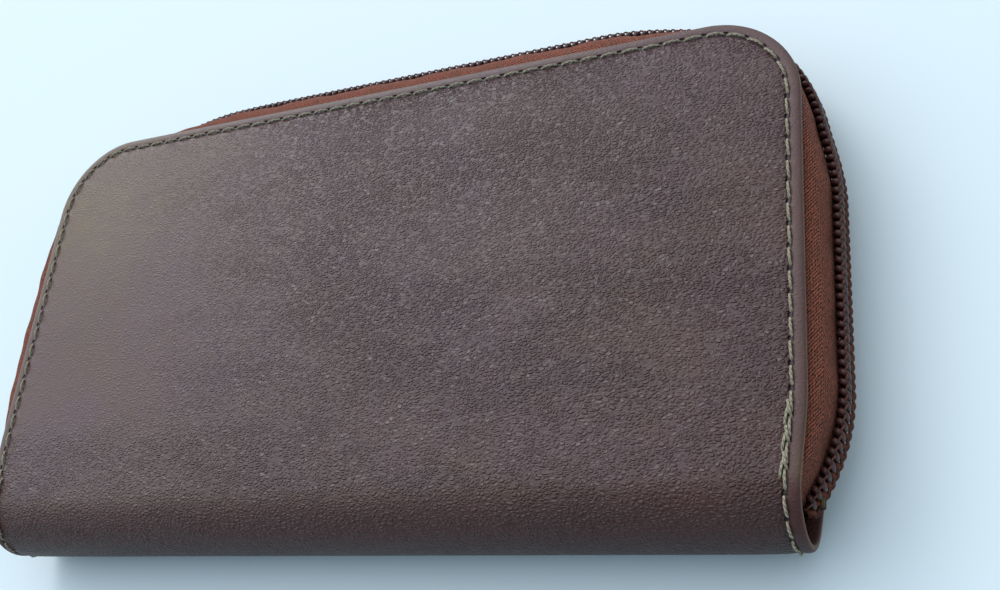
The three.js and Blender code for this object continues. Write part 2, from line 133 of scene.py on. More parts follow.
class Soup:
    """Vertices, faces and per-vertex maps gathered from many parts of one object. turn puts
    points from the parts' own axes in their place."""

    def __init__(self, turn=None):
        self.verts, self.faces, self.maps, self.count = [], [], {}, 0
        self.turn = turn

    def add(self, verts, faces, **maps):
        verts = np.asarray(verts, float).reshape(-1, 3)
        self.verts.append(self.turn(verts) if self.turn else verts)
        self.faces.extend(tuple(int(i) + self.count for i in f) for f in faces)
        for name, values in maps.items():
            values = np.asarray(values, float).reshape(len(verts), -1)
            self.maps.setdefault(name, []).append(values)
        self.count += len(verts)

    def build(self, name, material, smooth_angle=50, merge=True, fill=False):
        mesh = bpy.data.meshes.new(name)
        mesh.from_pydata(np.concatenate(self.verts) * MM, [], self.faces)
        corners = np.zeros(len(mesh.loops), np.int32)
        mesh.loops.foreach_get("vertex_index", corners)
        for label, parts in self.maps.items():
            values = np.concatenate(parts)
            if values.shape[1] == 2:
                layer = mesh.uv_layers.new(name=label)
                layer.data.foreach_set("uv", values[corners].astype(np.float32).ravel())
            else:
                layer = mesh.attributes.new(label, "FLOAT", "POINT")
                layer.data.foreach_set("value", values[:, 0].astype(np.float32))
        work = bmesh.new()
        work.from_mesh(mesh)
        if merge:
            bmesh.ops.remove_doubles(work, verts=work.verts, dist=2e-6)
        if fill:
            edges = [e for e in work.edges if e.is_boundary]
            bmesh.ops.holes_fill(work, edges=edges, sides=0)
        bmesh.ops.recalc_face_normals(work, faces=work.faces)
        work.to_mesh(mesh)
        work.free()
        mesh.polygons.foreach_set("use_smooth", np.ones(len(mesh.polygons), bool))
        mesh.set_sharp_from_angle(angle=math.radians(smooth_angle))
        mesh.materials.append(material)
        piece = bpy.data.objects.new(name, mesh)
        bpy.context.scene.collection.objects.link(piece)
        return piece


def run_length(points):
    """Distance along a line to each of its points, which are in a plane."""
    return np.concatenate([[0], np.cumsum(np.hypot(*np.diff(points, axis=0).T))])


def directions(points):
    """The direction of a line at each of its points."""
    slopes = np.gradient(points, axis=0)
    return slopes / np.linalg.norm(slopes, axis=1)[:, None]


def normals(points):
    """The direction to the right of a line in a plane, at each of its points."""
    slopes = directions(points)
    return np.column_stack([slopes[:, 1], -slopes[:, 0]])


def grid_faces(rows, cols, wrap=False):
    """Quads over rows x cols points; wrap joins the last column to the first."""
    faces = []
    for i in range(rows - 1):
        for j in range(cols if wrap else cols - 1):
            k = (j + 1) % cols
            faces.append((i * cols + j, i * cols + k, (i + 1) * cols + k, (i + 1) * cols + j))
    return faces


def capped_faces(rows, cols):
    """Quads round a closed section of cols points, swept over rows, with both ends closed."""
    faces = grid_faces(rows, cols, wrap=True)
    faces.append(tuple(range(cols)))
    faces.append(tuple((rows - 1) * cols + j for j in reversed(range(cols))))
    return faces


def tube_rings(path, radius, sides, lobe=0.0, turns=0.0, flatten=1.0, up=(0, 0, 1)):
    """Rings round a path. lobe and turns make a twisted two-ply section."""
    path = np.asarray(path, float)
    radii = np.broadcast_to(radius, len(path))
    normal = np.array(up, float)
    angles = np.linspace(0, 2 * math.pi, sides, endpoint=False)
    rings = np.zeros((len(path), sides, 3))
    for i, tangent in enumerate(directions(path)):
        normal = normal - tangent * (normal @ tangent)
        normal /= np.linalg.norm(normal)
        across = np.cross(tangent, normal)
        twist = 2 * math.pi * turns * i / max(len(path) - 1, 1)
        r = radii[i] * (1 + lobe * np.cos(2 * (angles - twist)))
        rings[i] = (path[i] + (r * np.cos(angles))[:, None] * normal * flatten
                    + (r * np.sin(angles))[:, None] * across)
    return rings


def add_tube(soup, path, radius, sides=8, uv=None, **shape):
    """A closed tube along a path. uv is the map's value along it at its two ends."""
    rings = tube_rings(path, radius, sides, **shape)
    maps = {}
    if uv is not None:
        around = np.linspace(0, 1, sides, endpoint=False)
        maps["grain"] = np.stack(np.meshgrid(around, np.linspace(*uv, len(rings))), -1)
    soup.add(rings, capped_faces(len(rings), sides), **maps)


def ride(soup, name, material, body, material_slot, *nodes, **look):
    """Builds a piece that moves with one body. nodes are the CAD nodes that it stands for."""
    piece = soup.build(name, material, **look)
    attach(piece, body)
    if nodes:
        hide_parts(*nodes)
    return piece


def point_mm(x, y, z):
    return (x * MM, y * MM, z * MM)


def join_to_page(piece, side, at_page, at_cover, node):
    """A soft piece: its place is baked into its mesh, and the CAD node that it stands for is
    hidden.
    """
    at_page, at_cover = point_mm(*at_page), point_mm(*at_cover)
    if side == FRONT:
        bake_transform(piece)
    else:
        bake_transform(piece)
    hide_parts(node)


def bend_with_cover(piece, side, node):
    """A cover piece, passed to join_to_page with one point on the spine's middle and one 2 mm past
    the spine.
    """
    join_to_page(piece, side, (0, LEATHER_LOW[1], MID), (0, SPINE_Y + 2, MID + side * MID),
                 node)


# ---- Materials ----


class Signal:
    """A node's output that can stand in a sum: each operator adds one Math node."""

    def __init__(self, nodes, socket):
        self.nodes = nodes
        self.socket = socket

    def __add__(self, other):
        return self.nodes.math("ADD", self, other)

    def __sub__(self, other):
        return self.nodes.math("SUBTRACT", self, other)

    def __rsub__(self, other):
        return self.nodes.math("SUBTRACT", other, self)

    def __mul__(self, other):
        return self.nodes.math("MULTIPLY", self, other)

    def __truediv__(self, other):
        return self.nodes.math("DIVIDE", self, other)

    def __abs__(self):
        return self.nodes.math("ABSOLUTE", self)

    def clamped(self):
        """Keeps the sum's last node within 0 and 1."""
        self.socket.node.use_clamp = True
        return self


class Nodes:
    """A short way to add nodes to a tree and link them."""

    def __init__(self, tree):
        self.tree = tree

    def node(self, kind, inputs=None, output=0, **settings):
        """Adds a node and returns one of its outputs."""
        node = self.tree.nodes.new("ShaderNode" + kind)
        for key, value in settings.items():
            setattr(node, key, value)
        for key, value in (inputs or {}).items():
            self.feed(node.inputs[key], value)
        return Signal(self, node.outputs[output])

    def feed(self, socket, value):
        if isinstance(value, Signal):
            self.tree.links.new(value.socket, socket)
        else:
            socket.default_value = value

    def math(self, operation, a, b=0.0):
        return self.node("Math", {0: a, 1: b}, operation=operation)

    def mix(self, factor, a, b, blend="MIX"):
        return self.node("Mix", {0: factor, 6: a, 7: b}, 2, data_type="RGBA", blend_type=blend)

    def ramp(self, value, low, high):
        return self.node("MapRange", {0: value, 1: low, 2: high}, interpolation_type="SMOOTHSTEP")

    def split(self, vector):
        """A vector's three parts."""
        parts = self.node("SeparateXYZ", {0: vector}).socket.node.outputs
        return [Signal(self, part) for part in parts]


class Graph(Nodes):
    """A procedural material."""

    def __init__(self, name, **settings):
        self.material = bpy.data.materials.new(name)
        self.material.use_nodes = True
        super().__init__(self.material.node_tree)
        self.shader = self.tree.nodes["Principled BSDF"]
        for key, value in settings.items():
            label = key.replace("_", " ").title().replace("Ior", "IOR")
            self.shader.inputs[label].default_value = value

    def place(self, vector, scale, degrees=0):
        turn = (0, 0, math.radians(degrees))
        return self.node("Mapping", {0: vector, 2: turn, 3: scale})

    def uv(self, layer, scale=(1, 1, 1)):
        return self.place(self.node("UVMap", uv_map=layer), scale)

    def object_point(self):
        return self.node("TexCoord", output="Object")

    def noise(self, vector, scale, detail=3.0, roughness=0.5, distortion=0.0):
        return self.node("TexNoise", {"Vector": vector, "Scale": scale, "Detail": detail,
                                      "Roughness": roughness, "Distortion": distortion})

    def bump(self, height, distance, strength=1.0, below=None):
        inputs = {"Height": height, "Distance": distance, "Strength": strength}
        if below is not None:
            inputs["Normal"] = below
        return self.node("Bump", inputs)

    def finish(self, color, roughness, normal):
        for key, value in (("Base Color", color), ("Roughness", roughness), ("Normal", normal)):
            self.feed(self.shader.inputs[key], value)
        return self.material


def rgb(red, green, blue):
    return (red, green, blue, 1.0)


def leather_material():
    """Pull-up leather: purple-brown, with tan wear and a painted tan highlight on the spine's fold,
    a red-brown base and painted shade over the spine, and painted shade in its valleys and needle
    holes.
    """
    g = Graph("pull_up_leather", specular_ior_level=0.42)
    flat = g.uv("grain")
    wear, warm, dark, calm = (g.node("Attribute", output=2, attribute_name=name)
                              for name in ("wear", "warm", "dark", "calm"))
    # Height: small pebbles in slanted rows, and long thin creases that gather in patches.
    drift = g.node("TexNoise", {"Vector": flat, "Scale": 0.9, "Detail": 2.0}, "Color")
    warped = g.node("VectorMath", {0: drift, 1: (0.30, 0.30, 0), 2: flat},
                    operation="MULTIPLY_ADD")
    rows = g.place(warped, (9.6, 15.5, 1), -20)
    pebbles = g.node("TexVoronoi", {"Vector": rows, "Scale": 1.0, "Randomness": 0.9},
                     feature="DISTANCE_TO_EDGE")
    pebbles = g.ramp(pebbles, 0.0, 0.40)
    wave = g.noise(g.place(warped, (0.30, 1.1, 1), -24), 1.0, 3, 0.55, 0.3)
    crease = (1 - abs((wave - 0.5) * 55)).clamped()
    patch = g.ramp(g.noise(g.place(flat, (0.28, 0.62, 1), -24), 1.0, 4, 0.6, 0.4), 0.36, 0.62)
    depth = (patch * 0.34 + 0.56) * (1 - calm)
    rare = g.ramp(g.noise(flat, 0.55, 2, 0.5), 0.47, 0.62)
    crease = crease * depth * rare
    # Colour: clouds, mottling and flecks, then tan wear with a painted highlight, the red-brown
    # spine with painted shade, a painted grey shade along the spine's middle, and painted shade in
    # the valleys.
    clouds = g.ramp(g.noise(flat, 0.34, 4, 0.55, 0.4), 0.34, 0.68)
    mottle = g.ramp(g.noise(flat, 1.7, 6, 0.65, 0.8), 0.40, 0.72)
    flecks = g.ramp(g.noise(flat, 9.0, 5, 0.7, 0.3), 0.50, 0.70)
    valley = g.math("MAXIMUM", crease * 0.4, (1 - pebbles) * depth)
    color = g.mix(clouds, rgb(0.070, 0.031, 0.035), rgb(0.072, 0.032, 0.024))
    color = g.mix(mottle * 0.5, color, rgb(0.072, 0.029, 0.020))
    color = g.mix(flecks * (mottle * 0.35 + 0.10), color, rgb(0.130, 0.062, 0.030))
    # Tan wear, with a painted highlight along the spine's fold.
    color = g.mix((wear * (mottle * 0.4 + 0.6)).clamped(), color, rgb(0.150, 0.108, 0.030))
    # The red-brown spine: partly its base colour, partly painted shade.
    color = g.mix(warm, color, rgb(0.058, 0.015, 0.011))
    # Painted shade along the spine's middle band.
    color = g.mix(dark, color, rgb(0.030, 0.018, 0.018))
    # Painted shade in the crease and pebble valleys.
    color = g.mix(valley * 0.55, color, rgb(0.022, 0.008, 0.006))
    # Needle holes along the stitch line, painted dark as shade, and the paler raw edge.
    along, inset, _ = g.split(g.uv("edge"))
    on_line = (1 - g.ramp(abs(inset - STITCH_INSET), 0.20, 0.62)).clamped()
    from_hole = abs(g.math("FRACT", along / STITCH_PITCH + 0.5) - 0.5)
    hole = on_line * (1 - g.ramp(from_hole, 0.06, 0.16))
    # Painted shade: the needle holes are near black.
    color = g.mix(hole * 0.92, color, rgb(0.010, 0.006, 0.005))
    raw = (1 - g.ramp(inset, EDGE_TRIM + 0.03, EDGE_TRIM + 0.14)).clamped()
    color = g.mix(raw * (clouds * 0.5 + 0.2), color, rgb(0.20, 0.095, 0.042))
    normal = g.bump(crease * -1, 0.00009)
    normal = g.bump(pebbles * (depth + 0.06), 0.00033, 1.0, normal)
    normal = g.bump(g.noise(flat, 30.0, 2, 0.6), 0.00006, 0.8, normal)
    normal = g.bump(hole * -1, 0.0006, 0.9, normal)
    rough = g.noise(flat, 5.0, 5, 0.7) * 0.20 + 0.27 + calm * 0.08 + warm * 0.16
    return g.finish(color, rough, normal)


def pocket_leather_material():
    """Thin split leather: brown and faintly mottled."""
    g = Graph("thin_pocket_leather", specular_ior_level=0.45)
    flat = g.uv("grain")
    mottle = g.ramp(g.noise(flat, 1.2, 5, 0.6, 0.6), 0.35, 0.7)
    color = g.mix(mottle, rgb(0.095, 0.045, 0.030), rgb(0.135, 0.068, 0.043))
    grain = g.node("TexVoronoi", {"Vector": flat, "Scale": 14.0}, feature="SMOOTH_F1")
    normal = g.bump(g.noise(flat, 5.0, 4, 0.6, 0.8), 0.0006, 0.6)
    return g.finish(color, g.noise(flat, 3.0) * 0.2 + 0.38, g.bump(grain, 0.00012, 0.7, normal))


def lining_material():
    """A plain weave: warp and weft threads pass over each other in turn."""
    g = Graph("lining_weave", specular_ior_level=0.25, sheen_weight=0.06, sheen_roughness=0.5)
    across, along, _ = g.split(g.uv("grain", (32, 32, 1)))
    over = (g.math("FRACT", across * 0.5) - 0.5) * (g.math("FRACT", along * 0.5) - 0.5)
    over = g.math("GREATER_THAN", over, 0.0)
    humps = [abs(g.math("SINE", value * math.pi)) for value in (across, along)]
    height = g.node("Mix", {0: over, 2: humps[0], 3: humps[1]}, data_type="FLOAT")
    color = g.mix(over, rgb(0.125, 0.066, 0.038), rgb(0.165, 0.092, 0.055))
    # Painted shade where the threads dip under each other.
    color = g.mix((1 - height) * 0.6, color, rgb(0.05625, 0.0297, 0.0171))
    color = g.mix(g.noise(g.uv("grain"), 1.6, 5, 0.65) * 0.35, color, rgb(0.099, 0.0552, 0.033))
    return g.finish(color, 0.82, g.bump(height, 0.00012, 0.9))


def tape_material():
    """Zip tape: herringbone twill, whose ribs change direction every four millimetres."""
    g = Graph("zip_tape_twill", specular_ior_level=0.15, sheen_weight=0.06, sheen_roughness=0.4)
    flat = g.uv("grain")
    along, across, _ = g.split(flat)
    slant = along * 13 + g.math("PINGPONG", across, 0.42) * 15
    rib = g.math("SINE", (slant + g.noise(flat, 9.0, 3, 0.6) * 1.1) * (2 * math.pi))
    yarn = g.math("SINE", across * (2 * math.pi * 19))
    fuzz = g.noise(g.uv("grain", (1, 1.6, 1)), 15.0, 4, 0.8)
    height = rib * 0.45 + yarn * 0.20 + (fuzz - 0.5) * 4.2
    stain = g.ramp(g.noise(flat, 3.0, 4, 0.6), 0.4, 0.7)
    # Colour follows the height: painted shade in the rib grooves, and random dark specks.
    color = g.mix(g.ramp(height, -0.75, 0.85), rgb(0.014, 0.005, 0.004), rgb(0.460, 0.125, 0.066))
    color = g.mix(stain * 0.35, color, rgb(0.10, 0.048, 0.022))
    return g.finish(color, 0.85, g.bump(height, 0.00016))


def coil_material(name, light, gloss, rough):
    """Polyester coil, from near black to its light colour, and rougher where it is lighter."""
    g = Graph(name, specular_ior_level=gloss)
    where = g.object_point()
    tone = g.noise(where, 260.0, 3, 0.6)
    color = g.mix(tone, rgb(0.020, 0.006, 0.006), light)
    return g.finish(color, tone * 0.20 + rough, g.bump(g.noise(where, 1500.0, 2), 0.00005, 0.6))


def thread_material(name, light, dark, rough=0.75):
    """Two-ply thread, with painted shade between the plies."""
    g = Graph(name, specular_ior_level=0.25, sheen_weight=0.1)
    around, along, _ = g.split(g.uv("grain"))
    ply = g.math("SINE", (around * 2 + along) * (2 * math.pi))
    height = ply * 0.5 + g.noise(g.uv("grain", (9, 3, 1)), 3.0, 4, 0.7)
    # Painted shade: the darker colour lies in the grooves between the plies.
    color = g.mix(g.ramp(height, -0.3, 1.1), dark, light)
    color = g.mix(g.noise(g.object_point(), 90.0) * 0.35, color, dark)
    return g.finish(color, rough, g.bump(height, 0.00012, 0.8))


def brass_material(name, shade=1.0):
    """Stained brass, bright where its edges are rubbed. A shade below 1 darkens it as painted
    shade.
    """
    g = Graph(name, metallic=1.0)
    where = g.object_point()
    worn = g.ramp(g.node("NewGeometry", output="Pointiness"), 0.50, 0.56)
    stain = g.ramp(g.noise(where, 420.0, 5, 0.65, 0.3), 0.35, 0.7)
    color = g.mix(stain, rgb(0.20, 0.135, 0.062), rgb(0.36, 0.26, 0.125))
    color = g.mix(worn, color, rgb(0.62, 0.47, 0.24))
    color = g.mix(1.0, color, rgb(shade, shade * 0.86, shade * 0.74), "MULTIPLY")
    brush = g.noise(g.place(where, (300, 300, 4000)), 1.0, 2)
    return g.finish(color, stain * -0.12 + 0.42, g.bump(brush, 0.00002, 0.4))


def board_material():
    """Grey-brown leatherboard with fibres along X and Z."""
    g = Graph("leatherboard", specular_ior_level=0.2)
    fibres = g.noise(g.place(g.object_point(), (400, 1600, 400)), 1.0, 5, 0.7)
    color = g.mix(fibres, rgb(0.20, 0.16, 0.11), rgb(0.42, 0.35, 0.26))
    return g.finish(color, 0.9, g.bump(fibres, 0.0001, 0.6))


LEATHER = leather_material()
POCKET_LEATHER = pocket_leather_material()
LINING = lining_material()
TAPE = tape_material()
# The back half of the chain is the same coil, painted lighter and rust-brown: painted light on the
# chain's lower half.
COILS = {FRONT: coil_material("zip_coil_polyester", rgb(0.085, 0.026, 0.020), 0.30, 0.24),
         BACK: coil_material("painted_light_zip_coil", rgb(0.200, 0.062, 0.036), 0.06, 0.60)}
THREAD = thread_material("waxed_thread", rgb(0.47, 0.42, 0.29), rgb(0.16, 0.13, 0.078))
DARK_THREAD = thread_material("brown_thread", rgb(0.17, 0.075, 0.038), rgb(0.05, 0.02, 0.012))
RUST_THREAD = thread_material("coil_binding_thread", rgb(0.20, 0.060, 0.030),
                              rgb(0.03, 0.009, 0.006), 0.85)
BRASS = brass_material("antique_brass")
# The end stop's brass, painted near black as painted shade where it sits at the zip's tucked end.
SHADED_BRASS = brass_material("painted_shade_brass", 0.16)
BOARD = board_material()


# ---- Cover surfaces ----


def swell(x, v, side):
    """How far the cover stands out of its nominal face: a soft crown and slow waves."""
    fade = smooth(v, 0, QUARTER)
    if side == BACK:
        return -0.32 * fade
    crown = 0.4 * (1 - (x / HALF_LENGTH) ** 2) * smooth(v, 0, 40) * smooth(FAR_V - v, 0, 40)
    waves = 0.06 * np.sin(x / 17 + v / 31 + 1.3) * np.sin(v / 19 + 0.6)
    waves = waves + 0.03 * np.sin(x / 8.3 - v / 11 + 2.1) * np.sin(v / 9.1 + x / 40)
    return (crown + waves) * fade


def cover_point(x, v, height, side):
    """The place of a point that is given by x, v and height on one cover."""
    x, v, height = np.broadcast_arrays(*(np.asarray(a, float) for a in (x, v, height)))
    taper = SPINE_TAPER * (1 - smooth(v, QUARTER * 0.6, QUARTER + 16))
    x = x - np.sign(x) * taper * smooth(np.abs(x), 30, HALF_LENGTH)
    angle = np.clip(v, 0, QUARTER) / MID
    out = MID + height + swell(x, v, side)
    y = SPINE_Y + np.maximum(v - QUARTER, 0) - out * np.cos(angle)
    return np.stack([x, y, MID + side * out * np.sin(angle)], -1)


def outline_columns(step):
    """Columns round a cover's edge from the right spine end to the left one, as arrays of the
    edge point's x and v and the outward direction there."""
    sides = np.linspace(0, CORNER_V, round(CORNER_V / step) + 1)
    turn = np.linspace(0, math.pi / 2, round(CORNER_RADIUS * math.pi / 2 / step) + 1)[1:-1]
    far = np.linspace(CORNER_X, -CORNER_X, 2 * round(CORNER_X / step) + 1)
    right = [(HALF_LENGTH, v, 1, 0) for v in sides]
    right += [(CORNER_X + CORNER_RADIUS * math.cos(a), CORNER_V + CORNER_RADIUS * math.sin(a),
               math.cos(a), math.sin(a)) for a in turn]
    left = [(-x, v, -nx, nv) for x, v, nx, nv in reversed(right)]
    return np.array(right + [(x, FAR_V, 0, 1) for x in far] + left), sides, far


def wrap_layer(name, side, rings, material, step):
    """A layer of a cover, flat over the panel and turned with the spine. rings lists (inset,
    height) round the layer's edge, from the middle of its outer face to that of its inner."""
    columns, sides, far = outline_columns(step)
    bx, bv, nx, nv = columns.T
    along = run_length(np.column_stack([bx - STITCH_INSET * nx, bv - STITCH_INSET * nv]))
    soup = Soup()
    inset = np.array([r[0] for r in rings])[:, None]
    height = np.array([r[1] for r in rings])[:, None]
    x, v = bx - inset * nx, bv - inset * nv
    edge = np.stack(np.broadcast_arrays(along, inset + 0 * along), -1)
    put_layer(soup, x, v, height, side, edge)
    far_x, side_v = np.meshgrid(far, sides)
    for _, level in (rings[0], rings[-1]):
        put_layer(soup, far_x, side_v, level, side, np.full(far_x.shape + (2,), CORNER_RADIUS))
    return soup.build(name, material, smooth_angle=60, fill=True)


def put_layer(soup, x, v, height, side, edge):
    """Adds a grid of one cover's surface with its maps. edge is (along, inset) at each point."""
    soup.add(cover_point(x, v, height, side), grid_faces(*x.shape), edge=edge,
             grain=np.stack([x / 10, side * v / 10], -1), **tones(x, v, edge[..., 1]))


def tones(x, v, inset):
    """Where the leather is tan with wear and a painted highlight, red-brown with painted shade, in
    painted grey shade, or calm.
    """
    y = v - QUARTER
    corner = np.exp(-(((x + 84) / 24) ** 2 + ((y - 78) / 26) ** 2))
    rim = 1 - smooth(inset, EDGE_TRIM, EDGE_TRIM + 2.6)
    # A painted highlight along the spine's top fold, tan like the wear and partly its pull-up wear.
    bend = np.exp(-((v - QUARTER * 0.86) / 1.1) ** 2)
    lip = rim * (1 - smooth(v, QUARTER, QUARTER + 8))
    wear = np.clip(0.55 * corner + 0.12 * rim + 0.50 * lip + 0.26 * bend, 0, 1)
    # Redder and darker over the spine: partly its red-brown base, partly painted shade where the
    # spine faces away from the light. Also redder towards the right end.
    warm = 0.90 * smooth(QUARTER * 1.08 - v, 0, 6.5) + 0.35 * smooth(x, 40, 95)
    # Painted shade: greyer and darker along the spine's middle band, which faces away from the
    # light.
    dark = 0.55 * (1 - smooth(v, 1.0, 8.0))
    calm = 0.80 * smooth(-x, -5, 75) * smooth(v, QUARTER + 4, QUARTER + 22)
    calm = np.maximum(calm, 0.9 * (1 - smooth(inset, STITCH_INSET - 0.6, STITCH_INSET + 0.8)))
    return {"wear": wear, "warm": np.clip(warm, 0, 1), "dark": dark + 0 * x, "calm": calm}


def skin(side):
    """One cover's leather: a turned rim, a valley under the stitches and a soft panel."""
    rings = [(20, 0.30), (15, 0.29), (11, 0.27), (8, 0.24), (6.3, 0.20), (5.2, 0.15), (4.5, 0.08),
             (4.0, -0.03), (3.7, -0.12), (3.4, -0.16), (3.1, -0.12), (2.8, -0.03), (2.3, 0.06),
             (1.7, 0.09), (1.1, 0.05), (0.7, -0.03), (0.38, -0.15), (0.16, -0.33), (0.03, -0.58),
             (0.0, -0.85), (0.04, -1.10), (0.16, -1.28), (0.4, -1.38), (1.2, -1.4), (4, -1.4),
             (9, -1.4), (20, -1.4)]
    rings = [(max(r, r + EDGE_TRIM * (1 - r / STITCH_INSET)), h) for r, h in rings]
    label = SIDE_NAMES[side]
    piece = wrap_layer(f"{label}_leather_skin", side, rings, LEATHER, step=1.3)
    bend_with_cover(piece, side, f"{label}_cover_leather")


def lining(side):
    rings = [(20, -3.0), (12, -3.0), (7, -3.0), (5.3, -3.02), (LINING_INSET, -3.1),
             (LINING_INSET, -3.3), (5.3, -3.38), (7, -3.42), (12, -3.4), (20, -3.4)]
    label = SIDE_NAMES[side]
    piece = wrap_layer(f"{label}_lining_cloth", side, rings, LINING, step=3.0)
    bend_with_cover(piece, side, f"{label}_lining")
    width, length = 2 * (HALF_LENGTH - LINING_INSET), FAR_V - LINING_INSET
    width * MM
    length * MM


# ---- Stitching ----


class EdgeLine:
    """A line round a cover at one inset, measured by distance from the right spine end."""

    def __init__(self, inset):
        columns = outline_columns(0.5)[0]
        self.table = np.column_stack([columns[:, 0] - inset * columns[:, 2],
                                      columns[:, 1] - inset * columns[:, 3], columns[:, 2:]])
        self.s = run_length(self.table[:, :2])
        self.length = self.s[-1]

    def at(self, s):
        return [np.interp(s, self.s, column) for column in self.table.T]


def arched_stitch(soup, side, line, start, length, shift=0.0, slant=0.16, lift=0.34, sink=-0.55):
    """One stitch: it comes up out of its hole, arches over the seam and dives again."""
    t = np.linspace(0, 1, 11)
    x, v, nx, nv = line.at(start + length * t)
    off = shift + slant * (1 - 2 * t) + rng.normal(0, 0.03)
    height = sink + (lift - sink) * np.sin(math.pi * t) ** 0.45 * (0.94 + 0.12 * rng.random())
    points = cover_point(x + off * nx, v + off * nv, height, side)
    radius = THREAD_RADIUS * (0.80 + 0.20 * np.sin(math.pi * t) ** 0.5)
    add_tube(soup, points, radius, 8, uv=(start, start + length), lobe=0.13, turns=1.4,
             up=(0, 0.2, side))


def stitching(side):
    """The stitch line round one cover, each stitch a piece of thread with a little variation."""
    line = EdgeLine(STITCH_INSET)
    soup = Soup()
    count = int(line.length // STITCH_PITCH)
    for i in range(count):
        start = i * STITCH_PITCH + 0.30 + rng.normal(0, 0.05)
        arched_stitch(soup, side, line, start, STITCH_PITCH - 0.6)
    # Back-tacks near both spine ends: a second, looser row beside the first.
    for first, last in ((QUARTER - 3, QUARTER + 7),
                        (line.length - QUARTER - 7, line.length - QUARTER + 3)):
        for start in np.arange(first, last, STITCH_PITCH):
            arched_stitch(soup, side, line, start + 1.9, STITCH_PITCH - 0.4, shift=-0.62,
                          slant=-0.30, lift=0.42)
            arched_stitch(soup, side, line, start + 3.4, STITCH_PITCH - 1.2, shift=-0.25,
                          slant=0.45, lift=0.62)
    label = SIDE_NAMES[side]
    piece = soup.build(f"{label}_stitches", THREAD, smooth_angle=80, merge=False)
    bend_with_cover(piece, side, f"{label}_stitching")


# ---- Zip ----


class ZipRoute:
    """The chain's middle line, from the right spine end round to the left one."""

    def __init__(self):
        half = CORNER_Y - ZIP_START_Y + CORNER_RADIUS * math.pi / 2 + CORNER_X
        run = np.linspace(0, half, 1500)
        bulge = zip_bulge(run)
        x, y, nx, ny = outline_at(run)
        right = np.column_stack([x, y, nx, ny, bulge])
        left = right[-2::-1] * (-1, 1, -1, 1, 1)
        dip = LEFT_DIP * np.exp(-((left[:, 0] - LEFT_DIP_X) / LEFT_DIP_WIDTH) ** 2)
        left[:, 4] -= dip * (left[:, 1] > CORNER_Y)
        table = np.concatenate([right, left])
        middle = table[:, :2] + table[:, 4:] * table[:, 2:4]
        self.s = run_length(middle)
        self.table = np.column_stack([middle, normals(middle), table])
        self.length = self.s[-1]

    def at(self, s):
        """Chain point, chain's outward direction, then outline point, its outward direction
        and the bulge, each as an array."""
        rows = np.column_stack([np.interp(s, self.s, column) for column in self.table.T])
        return rows[:, 0:2], rows[:, 2:4], rows[:, 4:6], rows[:, 6:8], rows[:, 8]

    def find(self, y, hand):
        """Distance along the chain to the point on one straight side that is nearest a y."""
        middle = self.table[:, :2]
        gap = np.abs(middle[:, 1] - y) + np.where(middle[:, 0] * hand > HALF_LENGTH - 12, 0, 1000)
        return self.s[np.argmin(gap)]


def zip_bulge(run):
    """How far the chain's middle is out from the leather's edge."""
    y = ZIP_START_Y + run
    tuck = np.maximum(ZIP_TUCK_START_Y - y, 0) / ZIP_TUCK_LENGTH
    low = CORNER_Y - ZIP_START_Y + ZIP_CORNER_LOW
    hold = ZIP_SIDE_HOLD_END_Y - ZIP_START_Y
    return (ZIP_SIDE_BULGE - ZIP_TUCK_DEPTH * tuck ** 2
            + (ZIP_CORNER_BULGE - ZIP_SIDE_BULGE) * smooth(run, hold, low)
            + (ZIP_FAR_BULGE - ZIP_CORNER_BULGE) * smooth(run, low, low + ZIP_FAR_RISE))


def outline_at(run):
    """Leather outline on the right half at a distance from the zip's start, and its normal."""
    straight = CORNER_Y - ZIP_START_Y
    angle = np.clip((run - straight) / CORNER_RADIUS, 0, math.pi / 2)
    past = np.maximum(run - straight - CORNER_RADIUS * math.pi / 2, 0)
    x = CORNER_X + CORNER_RADIUS * np.cos(angle) - past
    y = np.minimum(ZIP_START_Y + run, CORNER_Y) + CORNER_RADIUS * np.sin(angle)
    return x, y, np.cos(angle), np.sin(angle)


ROUTE = ZipRoute()


def chain_points(s, out, up):
    """Points near the chain: out along its outward direction, up from the middle height."""
    middle, outward = ROUTE.at(s)[:2]
    flat = middle + np.asarray(out)[:, None] * outward
    return np.column_stack([flat, MID + np.broadcast_to(up, len(flat))])


def tape_profile(bulge, puff, side):
    """The tape's outer face as (out from the leather edge, up from the middle) points. puff
    is how far slack tape is pushed out just below the leather."""
    upright = bulge + TAPE_OFFSET
    flange = MID - 1.8
    knots = [(-6.4, flange), (-3.4, flange)]
    turn = (min(upright, 0.0) - EDGE_TRIM - 0.5, flange)
    pulls = (turn, (turn[0] + 0.55 * (upright - turn[0]) + 0.3 + puff, flange - 0.4 + 0.1 * puff),
             (upright + 0.1, 5.6), (upright, 0.75))
    for t in np.linspace(0, 1, 17):
        weights = ((1 - t) ** 3, 3 * t * (1 - t) ** 2, 3 * t * t * (1 - t), t ** 3)
        knots.append(tuple(sum(w * p[k] for w, p in zip(weights, pulls)) for k in (0, 1)))
    return np.array(knots) * (1, side)


